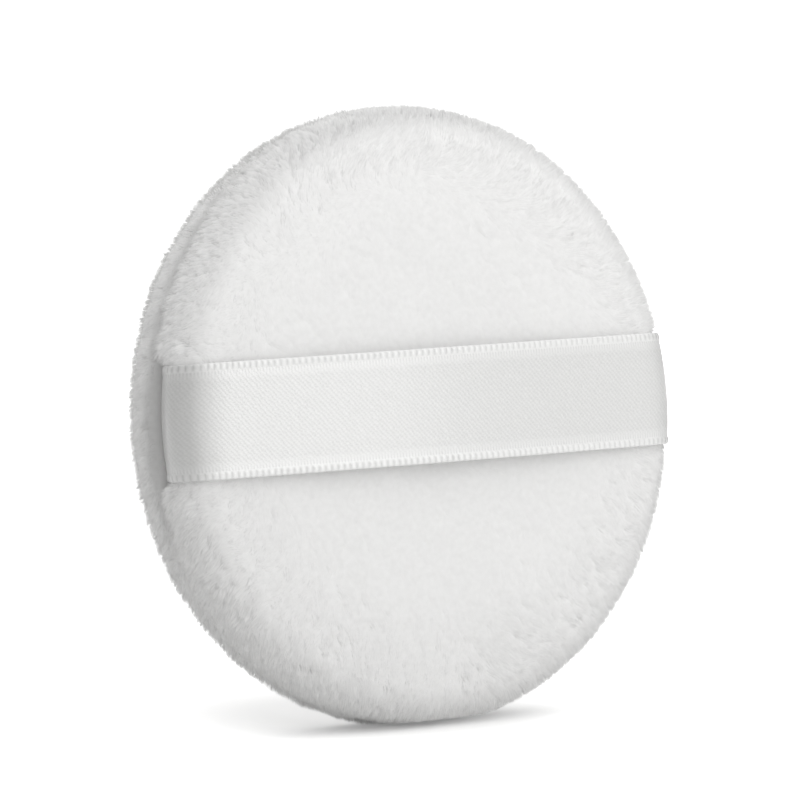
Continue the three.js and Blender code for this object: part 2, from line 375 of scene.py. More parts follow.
def lobe_outline(lobe):
    """From the middle of the face over the shoulder to the seam, finely stepped, as radius and depth."""
    edge_angle, edge_radius, _ = crown_edge(lobe)
    face = np.linspace(0, edge_radius, 400, endpoint=False)
    shoulder = np.linspace(edge_angle, 0, 200, endpoint=False)
    hem = np.linspace(0, -math.pi / 2, 200)
    radius = np.concatenate([
        face,
        lobe.radius - lobe.shoulder_reach * (1 - np.cos(shoulder)),
        lobe.seam_radius + (lobe.radius - lobe.seam_radius) * np.cos(hem)])
    depth = np.concatenate([
        face_depth(lobe, face),
        lobe.widest + lobe.shoulder_depth * np.sin(shoulder),
        lobe.widest + (lobe.widest - SEAM_SLIT / 2) * np.sin(hem)])
    return np.stack([radius, depth], -1)


def path_lengths(path):
    steps = np.linalg.norm(np.diff(path, axis=0), axis=1)
    return np.concatenate([[0], np.cumsum(steps)])


def path_normals(path):
    along = np.gradient(path, axis=0)
    return unit(np.stack([-along[:, 1], along[:, 0]], -1))


def resample(path, *values, count):
    """The path, and values along it, at evenly spaced points."""
    lengths = path_lengths(path)
    places = np.linspace(0, lengths[-1], count)
    columns = [*path.T, *values]
    return [np.interp(places, lengths, column) for column in columns]


def on_pad(lobe, radius, angle, depth):
    """Points from radius, angle up from +X and depth."""
    return np.stack([
        radius * np.cos(angle),
        SEAM_PLANE + lobe.side * depth,
        AXIS_HEIGHT + radius * np.sin(angle)], -1)


def turned(lobe, radius, depth, angle):
    """Rings of points from a profile turned round the axis, as rings by angles by three."""
    shape = (len(radius), len(angle))
    return on_pad(lobe, radius[:, None], angle[None, :], np.broadcast_to(depth[:, None], shape))


def from_axis(place):
    """The way straight out from the pad's axis."""
    return unit((place - np.array(DISC_CENTRE)) * [1, 0, 1])


# Nodes that the materials share
def new_material(name):
    material = bpy.data.materials.new(name)
    material.use_nodes = True
    nodes = material.node_tree.nodes
    return material, nodes, material.node_tree.links, nodes["Principled BSDF"]


def calculated(nodes, links, operation, *values, clamp=False):
    """A sum, product or the like of numbers and outputs of nodes."""
    node = nodes.new("ShaderNodeMath")
    node.operation = operation
    node.use_clamp = clamp
    for socket, value in zip(node.inputs, values):
        if isinstance(value, bpy.types.NodeSocket):
            links.new(value, socket)
        else:
            socket.default_value = value
    return node.outputs["Value"]


def ranged(nodes, links, value, source, target):
    """A value moved from one range to another, each given by its two ends."""
    node = nodes.new("ShaderNodeMapRange")
    links.new(value, node.inputs["Value"])
    for name, ends in (("From", source), ("To", target)):
        node.inputs[f"{name} Min"].default_value = ends[0]
        node.inputs[f"{name} Max"].default_value = ends[1]
    return node


def from_mesh(nodes, name, output="Fac"):
    """What the mesh says at each point under a name."""
    node = nodes.new("ShaderNodeAttribute")
    node.attribute_name = name
    return node.outputs[output]


def noise_of(nodes, links, vector, scale, detail=2):
    noise = nodes.new("ShaderNodeTexNoise")
    noise.inputs["Scale"].default_value = scale
    noise.inputs["Detail"].default_value = detail
    links.new(vector, noise.inputs["Vector"])
    return noise


def mottled(nodes, links, scale, low, high):
    """A colour that wanders between two others over the object, and the unevenness that drives it."""
    place = nodes.new("ShaderNodeTexCoord")
    noise = noise_of(nodes, links, place.outputs["Object"], scale, detail=3)
    ramp = nodes.new("ShaderNodeValToRGB")
    ramp.color_ramp.elements[0].position = 0.3
    ramp.color_ramp.elements[1].position = 0.7
    ramp.color_ramp.elements[0].color = (*low, 1)
    ramp.color_ramp.elements[1].color = (*high, 1)
    links.new(noise.outputs["Fac"], ramp.inputs["Fac"])
    return ramp.outputs["Color"], noise.outputs["Fac"]


def blended(nodes, links, share, first, second):
    """The colour from one to another, each a plain colour or the output of a node."""
    mix = nodes.new("ShaderNodeMix")
    mix.data_type = "RGBA"
    links.new(share, mix.inputs["Factor"])
    for socket, colour in ((mix.inputs["A"], first), (mix.inputs["B"], second)):
        if isinstance(colour, tuple):
            socket.default_value = (*colour, 1)
        else:
            links.new(colour, socket)
    return mix.outputs["Result"]


def darkened(nodes, links, colour, share):
    """A colour of which only a share is left."""
    node = nodes.new("ShaderNodeVectorMath")
    node.operation = "SCALE"
    links.new(colour, node.inputs[0])
    links.new(share, node.inputs["Scale"])
    return node.outputs["Vector"]


def set_bump(nodes, links, shader, height, strength, distance):
    bump = nodes.new("ShaderNodeBump")
    bump.inputs["Strength"].default_value = strength
    bump.inputs["Distance"].default_value = distance
    links.new(height, bump.inputs["Height"])
    links.new(bump.outputs["Normal"], shader.inputs["Normal"])


def stripes(nodes, links, vector, direction):
    """Even waves between -1 and 1 along a direction whose length is waves per metre."""
    dot = nodes.new("ShaderNodeVectorMath")
    dot.operation = "DOT_PRODUCT"
    links.new(vector, dot.inputs[0])
    dot.inputs[1].default_value = [2 * math.pi * part for part in direction]
    return calculated(nodes, links, "SINE", dot.outputs["Value"])


# Materials
def plush_material(name):
    """White pile. Painted shade from the mesh darkens the roots and the groove, and tells the clumps apart by
    darkening them unevenly, since the pile itself casts no shadow.
    """
    material, nodes, links, shader = new_material(name)
    colour, _ = mottled(nodes, links, PLUSH_MOTTLE, *PLUSH_COLOURS)
    painted_shade = from_mesh(nodes, "painted_shade")
    links.new(darkened(nodes, links, colour, painted_shade), shader.inputs["Base Color"])
    shader.inputs["Roughness"].default_value = 0.9
    shader.inputs["Sheen Weight"].default_value = 0.2
    shader.inputs["Sheen Roughness"].default_value = 0.5
    shader.inputs["Specular IOR Level"].default_value = 0.2
    return material


def satin_material():
    """Satin weave: long floats side by side, each set on from the last, with gloss along them."""
    material, nodes, links, shader = new_material("satin")
    weave = from_mesh(nodes, "weave", "Vector")
    wander = noise_of(nodes, links, weave, WANDER_MOTTLE)
    moved = nodes.new("ShaderNodeVectorMath")
    moved.operation = "MULTIPLY_ADD"
    links.new(wander.outputs["Color"], moved.inputs[0])
    moved.inputs[1].default_value = (FLOAT_WANDER, FLOAT_WANDER, 0)
    links.new(weave, moved.inputs[2])
    place = moved.outputs["Vector"]
    floats = stripes(nodes, links, place, (1 / FLOAT_LENGTH, FLOAT_SHIFT / FLOAT_PITCH, 0))
    threads = stripes(nodes, links, place, (0, 1 / FLOAT_PITCH, 0))
    woven = calculated(nodes, links, "MULTIPLY_ADD", floats, threads, floats)
    uneven = noise_of(nodes, links, weave, SATIN_MOTTLE, detail=4)
    height = calculated(nodes, links, "ADD", woven, uneven.outputs["Fac"])
    raised = ranged(nodes, links, height, (-1.5, 2.5), (0, 1))
    field = blended(nodes, links, raised.outputs["Result"], *SATIN_COLOURS)
    beads = blended(nodes, links, from_mesh(nodes, "gap"), BEAD_COLOUR, NOTCH_COLOUR)
    colour = blended(nodes, links, from_mesh(nodes, "selvedge"), field, beads)
    # Painted shade: the colour darkens where the ribbon bends over the shoulder and turns from the light
    painted_bend_shade = ranged(nodes, links, from_mesh(nodes, "bend"), (0, 1), (1, 1 - BEND_SHADE))
    links.new(darkened(nodes, links, colour, painted_bend_shade.outputs["Result"]), shader.inputs["Base Color"])
    set_bump(nodes, links, shader, height, strength=0.4, distance=0.015 * mm)
    tangent = nodes.new("ShaderNodeTangent")
    tangent.direction_type = "RADIAL"
    tangent.axis = "X"
    links.new(tangent.outputs["Tangent"], shader.inputs["Tangent"])
    shader.inputs["Roughness"].default_value = 0.33
    shader.inputs["Anisotropic"].default_value = 0.75
    shader.inputs["Metallic"].default_value = 0.12
    shader.inputs["Specular IOR Level"].default_value = 0.1
    return material


def sponge_material():
    material, nodes, links, shader = new_material("sponge")
    colour, grain = mottled(nodes, links, SPONGE_MOTTLE, *SPONGE_COLOURS)
    links.new(colour, shader.inputs["Base Color"])
    set_bump(nodes, links, shader, grain, strength=0.6, distance=0.2 * mm)
    shader.inputs["Roughness"].default_value = 0.95
    return material


def thread_material():
    material, nodes, links, shader = new_material("thread")
    colour, grain = mottled(nodes, links, THREAD_MOTTLE, *THREAD_COLOURS)
    links.new(colour, shader.inputs["Base Color"])
    set_bump(nodes, links, shader, grain, strength=0.4, distance=0.05 * mm)
    shader.inputs["Roughness"].default_value = 0.55
    return material


# The plush cloth under the pile
def skin_profile(lobe):
    """Radius, depth, pile depth and distance from the seam along the outside of the cloth."""
    pile_surface = lobe_outline(lobe)
    cloth = lobe_outline(lobe._replace(
        radius=lobe.radius - RIM_PILE, seam_radius=lobe.seam_radius - RIM_PILE,
        shoulder_depth=lobe.shoulder_depth - FACE_PILE))
    lengths = path_lengths(cloth)
    pile = np.array([np.linalg.norm(pile_surface - spot, axis=1).min() for spot in cloth])
    count = int(lengths[-1] / RING_SPACING)
    return resample(cloth, pile, lengths[-1] - lengths, count=count)


def lining_profile(lobe):
    """Corners of the inside of a panel, from the seam round the allowance to the middle of the lining."""
    inside = SEAM_SLIT / 2 + ALLOWANCE_THICKNESS
    lining = np.linspace(WALL_RADIUS, 0, 30)
    depth = face_depth(lobe, lining) - PLUSH_THICKNESS
    corners = [(ALLOWANCE_END, SEAM_SLIT / 2), (ALLOWANCE_END, inside), (WALL_RADIUS, inside)]
    return np.concatenate([corners, np.stack([lining, depth], -1)])


def undrawn(place):
    """0 where the ribbon's pull opens the groove and 1 where nothing does."""
    return smooth_step(DRAWN_IN, DRAWN_OUT, np.abs(place[:, 2] - RIBBON_HEIGHT - DRAWN_MIDDLE))


def lie_unevenly(place, out, seam, seed):
    """The cloth with its lumps, the puckers beside the seam, and the groove filled where nothing opens it."""
    near_seam = 1 - smooth_step(0, PUCKER_REACH, seam)
    free = smooth_step(0, SEAM_HOLDS, seam)
    lumps = LUMP_HEIGHT * ripple(place, LUMP_WAVELENGTH, seed) * free
    puckers = PUCKER_HEIGHT * ripple(place, PUCKER_WAVELENGTH, seed + 1) * near_seam * free
    fill = GROOVE_FILL * undrawn(place) * (1 - smooth_step(0, GROOVE_FILL_REACH, seam))
    return place + out * (lumps + puckers)[:, None] + from_axis(place) * fill[:, None]


def press_under_ribbon(points, room):
    """Presses what lies under the ribbon down to the given room below its middle line. Also says how much."""
    path, normals = ribbon_path()
    beside = np.abs(points[:, 2] - RIBBON_HEIGHT) - RIBBON_WIDTH / 2
    share = 1 - smooth_step(-PRESS_STARTS, PRESS_EDGE, beside)
    moved = points.copy()
    near = np.flatnonzero(share > 0)
    for members in np.array_split(near, 1 + len(near) // POINTS_AT_ONCE):
        flat = along_ribbon(points[members])
        nearest = np.linalg.norm(flat[:, None, :] - path[None, :, :], axis=2).argmin(1)
        above = ((flat - path[nearest]) * normals[nearest]).sum(1)
        flat = flat + normals[nearest] * (np.minimum(0, -room - above) * share[members])[:, None]
        shift = round_rim(flat[:, 0], points[members, 2])
        moved[members, 0] = np.sign(points[members, 0]) * (flat[:, 0] - shift)
        moved[members, 1] = SEAM_PLANE - flat[:, 1]
    return moved, share


def close_seam(lobe, points):
    """Draws the two panels together in the seam, except where the ribbon's tails lie between them."""
    depth = lobe.side * (points[:, 1] - SEAM_PLANE)
    beside = np.abs(points[:, 2] - RIBBON_HEIGHT) - RIBBON_WIDTH / 2
    share = smooth_step(CLOSING_STARTS, CLOSING_FULL, beside)
    share = share * (1 - smooth_step(SEAM_SLIT, CLOSING_DEPTH, depth))
    points[:, 1] -= lobe.side * SEAM_CLOSING * share


def plush_skin(name, lobe, node, material, seed):
    """One plush panel's cloth, a closed bowl with its allowance turned in, lumpy as a sewn pad is."""
    radius, depth, pile, from_seam = skin_profile(lobe)
    inner = lining_profile(lobe)
    angle = np.linspace(0, 2 * math.pi, SKIN_SEGMENTS, endpoint=False)
    rings = len(radius) - 1
    tip = on_pad(lobe, np.zeros(1), np.zeros(1), depth[:1])
    end = on_pad(lobe, np.zeros(1), np.zeros(1), inner[-1:, 1])
    outside = np.concatenate([tip, turned(lobe, radius[1:], depth[1:], angle).reshape(-1, 3)])
    inside = turned(lobe, inner[:-1, 0], inner[:-1, 1], angle).reshape(-1, 3)
    faces = lathe_faces(rings + len(inner) - 1, len(angle))
    if lobe.side < 0:
        faces = faces[:, ::-1]
    shown = faces[(faces < len(outside)).all(1)]
    out = vertex_normals(outside, shown)
    piles = np.concatenate([pile[:1], np.repeat(pile[1:], len(angle))])
    seam = np.concatenate([from_seam[:1], np.repeat(from_seam[1:], len(angle))])
    outside = lie_unevenly(outside, out, seam, seed)
    if lobe is FRONT:
        outside, pressed = press_under_ribbon(outside, RIBBON_THICKNESS / 2 + PRESSED_PILE)
        piles = between(piles, PRESSED_PILE, pressed)
        wall = np.hypot(inside[:, 0], inside[:, 2] - AXIS_HEIGHT) > WALL_RADIUS - ALLOWANCE_THICKNESS
        inside[wall], _ = press_under_ribbon(inside[wall], RIBBON_THICKNESS / 2 + PRESSED_CLOTH)
    points = np.concatenate([outside, inside, end])
    close_seam(lobe, points)
    points[:, 2] = np.maximum(points[:, 2], FLOOR_CLEARANCE)
    mesh = new_mesh(name, points, faces)
    # Painted shade on the cloth: darker round the rim, in the groove and inside
    painted_shade = (1 - ROOT_SHADE * rim_share(out)) * (1 - groove_shade(outside))
    painted_shade = np.concatenate([painted_shade, np.full(len(points) - len(painted_shade), 1 - ROOT_SHADE)])
    set_values(mesh, "painted_shade", painted_shade)
    mesh.shade_smooth()
    shading = vertex_normals(points, faces)
    shading[:len(out)] = pulled(outside, shading[:len(out)], rim_share(out))
    mesh.normals_split_custom_set_from_vertices(shading)
    skin = add_piece(name, mesh, material)
    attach(skin, "pad")
    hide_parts(node)
    outside = points[:len(outside)]
    return Skin(outside, vertex_normals(outside, shown), piles, shown)


# How the pile opens, shades and leans
def rim_share(out):
    """0 on the faces and 1 round the rim, from the way out."""
    return smooth_step(RIM_BEGINS, RIM_FULL, np.sqrt(1 - np.clip(out[:, 1] ** 2, 0, 1)))


def near_edge(place):
    """0 in the middle of a face and 1 from its edge on."""
    return smooth_step(EDGE_STARTS, EDGE_FULL, np.hypot(place[:, 0], place[:, 2] - AXIS_HEIGHT))


def fluff_at(place, out):
    """0 where the pile lies closed and 1 where it is open."""
    return np.maximum(rim_share(out), EDGE_FLUFF * near_edge(place))


def pulled(place, out, rim):
    """The way the pile shades: outwards near a face's edge, and more as the front face round the rim."""
    tilt = EDGE_TILT * near_edge(place) * (1 - rim)
    pull = FRONT_PULL * rim * (1 - smooth_step(0, PULL_ENDS, out[:, 1]))
    to_front = np.array([0, FRONT.side, 0])
    return unit(out + tilt[:, None] * from_axis(place) + pull[:, None] * to_front)


def groove_shade(place):
    """How much painted shade darkens the pile in the groove: most where the ribbon's pull opens it."""
    drawn = 1 - GROOVE_SHADE_LOST * undrawn(place)
    near_seam = 1 - smooth_step(0, GROOVE_SHADE_REACH, np.abs(place[:, 1] - SEAM_PLANE))
    return GROOVE_SHADE * drawn * near_seam


def combed(lobe, place, out, seed):
    """The way the pile leans and by how much.

    It leans down in the middle of the face, turns outwards to the rim, and hangs down and to the seam there.
    """
    x, z = place[:, 0], place[:, 2] - AXIS_HEIGHT
    from_down = (np.arctan2(z, x) + 1.5 * math.pi) % (2 * math.pi) - math.pi
    outward = smooth_step(COMB_TURNS, COMB_OUTWARD, np.hypot(x, z))
    swirl = SWIRL * ripple(place, SWIRL_WAVELENGTH, seed) + CURL * ripple(place, CURL_WAVELENGTH, seed + 1)
    way = -math.pi / 2 + from_down * outward + swirl
    flow = np.stack([np.cos(way), np.zeros(len(way)), np.sin(way)], -1)
    beside_seam = 1 - smooth_step(0, SEAM_COVER_REACH, np.abs(place[:, 1] - SEAM_PLANE))
    to_seam = SEAM_COVER * beside_seam + (COMB_TO_SEAM if lobe is FRONT else 0)
    rim = rim_share(out)
    flow[:, 1] -= lobe.side * rim * to_seam
    flow[:, 2] -= rim * COMB_DOWN
    flow = across_way(flow, out)
    lean = between(FACE_LEAN, RIM_LEAN, fluff_at(place, out))
    return unit(flow), lean * np.minimum(1, np.linalg.norm(flow, axis=1) + LEAN_KEPT)


# The pile, one spike for each lock of fibres
def scatter(rng, skin, count):
    """Random spots spread over a skin, denser round the rim: place, way out and pile depth."""
    a, b, c = (skin.points[skin.faces[:, i]] for i in range(3))
    area = np.linalg.norm(np.cross(b - a, c - a), axis=1)
    area = area * (1 + RIM_CROWDING * rim_share(skin.normals[skin.faces[:, 0]]))
    chosen = rng.choice(len(skin.faces), size=count, p=area / area.sum())
    u, v = rng.uniform(size=(2, count))
    folded = u + v > 1
    u[folded], v[folded] = 1 - u[folded], 1 - v[folded]
    shares = np.stack([1 - u - v, u, v], -1)
    corners = skin.faces[chosen]
    place = (skin.points[corners] * shares[..., None]).sum(1)
    out = unit((skin.normals[corners] * shares[..., None]).sum(1))
    return place, out, (skin.piles[corners] * shares).sum(1)


def lock_tips(rng, lobe, place, out, pile, seed):
    """Where the tips of fibres that start at a place lie."""
    flow, lean = combed(lobe, place, out, seed)
    jitter = between(FACE_JITTER, RIM_JITTER, rim_share(out))
    lean = np.clip(lean + jitter * rng.normal(size=len(place)), 0, MOST_LEAN)
    length = (pile + TIP_RISE) / np.cos(lean) * rng.uniform(*LENGTH_SPREAD, len(place))
    return place + (out * np.cos(lean)[:, None] + flow * np.sin(lean)[:, None]) * length[:, None]


def nearest_clump(clump_place, place):
    tree = kdtree.KDTree(len(clump_place))
    for number, spot in enumerate(clump_place):
        tree.insert(spot, number)
    tree.balance()
    return np.array([tree.find(spot)[1] for spot in place])


def spikes(rng, roots, tips, facing, shading, roundness):
    """Closed spikes with their broad side turned to a way: points, faces and the normals of the corners."""
    count = len(roots)
    along = unit(tips - roots)
    roots = roots - along * FIBRE_ROOT
    side = unit(np.cross(along, facing))
    inward = np.cross(along, side)
    turned_by = STRAND_TURN * rng.normal(size=count)[:, None]
    across = inward * np.cos(turned_by) + side * np.sin(turned_by)
    beside = np.cross(along, across)
    width = FIBRE_WIDTH / 2 * rng.uniform(*WIDTH_SPREAD, count)
    behind = across * (STRAND_FLATNESS * width)[:, None]
    edge = beside * width[:, None]
    points = np.stack([roots + behind, roots + edge, roots - edge, tips], 1)
    base = np.arange(count)[:, None, None] * 4
    faces = base + np.array([[0, 2, 1], [0, 1, 3], [2, 0, 3], [1, 2, 3]])
    rounded = roundness[:, None]
    one_side = unit(shading + (beside - shading) * rounded)
    other_side = unit(shading - (beside + shading) * rounded)
    normals = np.stack([across] * 9 + [one_side, other_side, shading], 1)
    return points.reshape(-1, 3), faces.reshape(-1, 3), normals.reshape(-1, 3)


def grow_pile(name, lobe, skin, count, material, seed):
    """The pile of one panel: spikes whose tips draw together in clumps, in a few pieces side by side."""
    rng = np.random.default_rng(seed)
    place, out, pile = scatter(rng, skin, count)
    tips = lock_tips(rng, lobe, place, out, pile, seed)
    clump_place, clump_out, clump_pile = scatter(rng, skin, int(count * CLUMPS_PER_FIBRE))
    clump_tips = lock_tips(rng, lobe, clump_place, clump_out, clump_pile, seed)
    nearest = nearest_clump(clump_place, place)
    fluff = fluff_at(place, out)
    pull = between(FACE_CLUMPING, RIM_CLUMPING, fluff) * rng.uniform(*CLUMPING_SPREAD, count)
    drawn = (clump_tips[nearest] - tips) * pull[:, None]
    tips = tips + across_way(drawn, out, kept=CLUMP_RELIEF)
    depth = lobe.side * (tips[:, 1] - SEAM_PLANE)
    tips[:, 1] = SEAM_PLANE + lobe.side * np.maximum(depth, -SEAM_CROSSING)
    off_middle = across_way(place - clump_place[nearest], out)
    spacing = np.linalg.norm(off_middle, axis=1).mean()
    bulge = between(FACE_BULGE, RIM_BULGE, fluff)[:, None] * off_middle / spacing
    shading = pulled(place, out + bulge, rim_share(out))
    facing = shading if lobe is FRONT else out
    # Painted shade: clumps and strands darkened at random where the pile opens, the groove darker and the
    # roots darker still
    painted_shade = 1 - CLUMP_SHADE * fluff * rng.uniform(size=len(clump_place))[nearest]
    painted_shade = (painted_shade - STRAND_SHADE * fluff * rng.uniform(size=count)) * (1 - groove_shade(place))
    roots = painted_shade * (1 - ROOT_SHADE * fluff)
    roundness = between(FACE_ROUNDNESS, RIM_ROUNDNESS, fluff)
    kept = np.flatnonzero(clear_of_ribbon(place, tips) & (tips[:, 2] > -BELOW_FLOOR))
    order = kept[np.argsort(np.arctan2(place[kept, 2] - AXIS_HEIGHT, place[kept, 0]))]
    pieces = math.ceil(count / FIBRES_PER_PIECE)
    for number, members in enumerate(np.array_split(order, pieces), 1):
        points, faces, normals = spikes(
            rng, place[members], tips[members], facing[members], shading[members], roundness[members])
        points[:, 2] = np.maximum(points[:, 2], FLOOR_CLEARANCE)
        mesh = new_mesh(f"{name}_{number}", points, faces)
        set_values(mesh, "painted_shade", np.stack([roots[members]] * 3 + [painted_shade[members]], 1).ravel())
        mesh.shade_smooth()
        mesh.normals_split_custom_set(normals)
        piece = add_piece(f"{name}_{number}", mesh, material)
        piece.visible_shadow = False
        piece.visible_diffuse = False
        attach(piece, "pad")


# The ribbon's path
def ribbon_path():
    """Middle line of the ribbon from the middle of the face to its cut end, and the way out along it.

    It lies over the face and the shoulder, leaves the shoulder for the seam, and ends between the allowances.
    """
    outline = lobe_outline(FRONT)
    _, face_edge, _ = crown_edge(FRONT)
    bow = RIBBON_BOW * smooth_step(0, face_edge, face_edge - outline[:, 0])
    laid = outline + path_normals(outline) * (RIBBON_STAND + bow)[:, None]
    leaves = FRONT.widest + FRONT.shoulder_depth * math.sin(RIBBON_LEAVES)
    laid = laid[outline[:, 1] > leaves]
    straight_on = laid[-1] + unit(laid[-1] - laid[-2]) * RIBBON_LEAVING
    entry = np.array((RIBBON_ENTRY, 0))
    dive = bezier((laid[-1], straight_on, entry + ENTRY_CORNER, entry), np.linspace(0, 1, 80)[1:])
    tail = np.linspace(RIBBON_ENTRY, ALLOWANCE_END + RIBBON_TAIL_SETBACK, 40)[1:]
    path = np.concatenate([laid, dive, np.stack([tail, np.zeros(len(tail))], -1)])
    path = np.stack(resample(eased(path), count=500), -1)
    return path, path_normals(path)


def bezier(corners, share):
    a, b, c, d = (np.asarray(corner)[None, :] for corner in corners)
    t = share[:, None]
    return a * (1 - t) ** 3 + 3 * b * t * (1 - t) ** 2 + 3 * c * t ** 2 * (1 - t) + d * t ** 3


def eased(path):
    """The path with its bends eased, as a ribbon takes them, from the middle line down to the seam."""
    path = np.stack(resample(path, count=1000), -1)
    step = np.linalg.norm(path[1] - path[0])
    reach = int(3 * RIBBON_EASE / step)
    weights = np.exp(-0.5 * (np.arange(-reach, reach + 1) * step / RIBBON_EASE) ** 2)
    weights = weights / weights.sum()
    before = path[reach:0:-1] * [-1, 1]
    after = path[-1] + (path[-1] - path[-2]) * np.arange(1, reach + 1)[:, None]
    longer = np.concatenate([before, path, after])
    smooth = np.stack([np.convolve(column, weights, "valid") for column in longer.T], -1)
    return between(path, smooth, smooth_step(EASE_ENDS, EASE_FULL, path[:, 1])[:, None])


def round_rim(along, height):
    """How much nearer the axis the ribbon bends there than at the axis' height, because the rim is round."""
    off_axis = height - AXIS_HEIGHT
    return off_axis ** 2 / (2 * PAD_RADIUS) * smooth_step(ROUNDING_STARTS, ROUNDING_FULL, along)


def along_ribbon(points):
    """Points as distance along X at the axis' height and depth, the way the ribbon's path is given."""
    along = np.abs(points[:, 0])
    along = along + round_rim(along + round_rim(along, points[:, 2]), points[:, 2])
    return np.stack([along, SEAM_PLANE - points[:, 1]], -1)


def clear_of_ribbon(roots, tips):
    """Which fibres stay clear of the ribbon."""
    path, _ = ribbon_path()
    path = path[::3]
    clear = np.ones(len(roots), bool)
    room = RIBBON_THICKNESS / 2 + RIBBON_ROOM
    for spots in (roots, tips, (roots + tips) / 2):
        beside = np.abs(spots[:, 2] - RIBBON_HEIGHT) - RIBBON_WIDTH / 2
        near = np.flatnonzero(beside < RIBBON_ROOM_BESIDE)
        for members in np.array_split(near, 1 + len(near) // POINTS_AT_ONCE):
            flat = along_ribbon(spots[members])
            gap = np.linalg.norm(flat[:, None, :] - path[None, :, :], axis=2).min(1)
            clear[members[gap < room]] = False
    return clear


# The ribbon
def ribbon_rows():
    """Places across the ribbon, from one edge to the other, closer together in the selvedges."""
    half = RIBBON_WIDTH / 2
    edge = np.linspace(0, SELVEDGE_WIDTH, SELVEDGE_ROWS)
    field = np.linspace(-half + SELVEDGE_WIDTH, half - SELVEDGE_WIDTH, FIELD_ROWS)[1:-1]
    return np.concatenate([-half + edge, field, half - edge[::-1]])


def ribbon_half(name, side, material):
    """Half of the ribbon, from the middle of the face to its cut end in the seam; side is the sign of X."""
    path, normals = ribbon_path()
    lengths = path_lengths(path)
    count = int(lengths[-1] / BEAD_PITCH * STEPS_PER_BEAD)
    radius, depth, out_radius, out_depth = resample(path, *normals.T, count=count)
    along = np.linspace(0, lengths[-1], count)
    across = ribbon_rows()
    rows = len(across)
    from_edge = RIBBON_WIDTH / 2 - np.abs(across)
    into = np.clip(from_edge / SELVEDGE_WIDTH, 0, 1)
    rib = np.abs(np.sin(math.pi * (along / BEAD_PITCH + BEAD_START * side))) ** BEAD_FULLNESS
    arch = np.clip(np.sin(math.pi * np.clip(into * BEAD_SPAN, 0, 1)), 0, 1)
    band = np.where(into < 1, arch ** BAND_FULLNESS, 0)
    beads = rib[:, None] * band[None, :]
    rounding = 1 - EDGE_THINNING * np.clip(1 - from_edge / EDGE_ROUNDING, 0, 1)
    thick = RIBBON_THICKNESS / 2 * rounding[None, :] + BEAD_HEIGHT * beads
    outward = BEAD_OVERHANG * rib[:, None] * ((1 - into) ** 3 * np.sign(across))[None, :]
    height = RIBBON_HEIGHT + np.broadcast_to(across, (count, rows)) + outward

    def surface(offset):
        reach = radius[:, None] + out_radius[:, None] * offset
        return np.stack([
            side * (reach - round_rim(reach, height)),
            SEAM_PLANE - (depth[:, None] + out_depth[:, None] * offset),
            height], -1)

    points = np.concatenate([surface(thick), surface(-thick)[:, ::-1]], 1).reshape(-1, 3)
    i = np.arange(rows - 1)
    cap = np.stack([2 * rows - 1 - i, 2 * rows - 2 - i, i + 1, i], -1)
    faces = np.concatenate([grid_faces(count, 2 * rows), cap, cap[:, ::-1] + (count - 1) * 2 * rows])
    if side > 0:
        faces = faces[:, ::-1]
    mesh = new_mesh(name, points, faces)
    weave = np.zeros((count, 2 * rows, 3))
    weave[..., 0] = side * along[:, None]
    weave[..., 1] = np.concatenate([across, across[::-1]])[None, :]
    mesh.attributes.new("weave", "FLOAT_VECTOR", "POINT").data.foreach_set(
        "vector", weave.astype(np.float32).ravel())
    # Painted shade in the notches between the beads, and the dots along the selvedge's inner edge
    notch = np.clip(NOTCH_SHADE * (1 - rib[:, None]) * band[None, :], 0, 1)
    dots = 0.5 + 0.5 * np.cos(2 * math.pi * DOTS_PER_BEAD * along / BEAD_PITCH)
    dot_line = np.exp(-((from_edge - SELVEDGE_WIDTH) / DOT_WIDTH) ** 2)
    gaps = np.maximum(notch, DOT_SHADE * dots[:, None] * dot_line[None, :])
    set_values(mesh, "gap", np.concatenate([gaps, gaps[:, ::-1]], 1).ravel())
    edge = smooth_step(SELVEDGE_FADE, 1.0, from_edge / SELVEDGE_WIDTH)
    set_values(mesh, "selvedge", np.tile(np.concatenate([edge, edge[::-1]]), count))
    # Painted shade where the ribbon bends away from the face
    bend = smooth_step(BEND_STARTS, BEND_FULL, np.arctan2(np.abs(out_radius), np.abs(out_depth)))
    set_values(mesh, "bend", np.repeat(bend, 2 * rows))
    mesh.shade_smooth()
    mesh.set_sharp_from_angle(angle=SHARP_EDGE)
    piece = add_piece(name, mesh, material)
    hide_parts("satin_ribbon")
    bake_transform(piece)


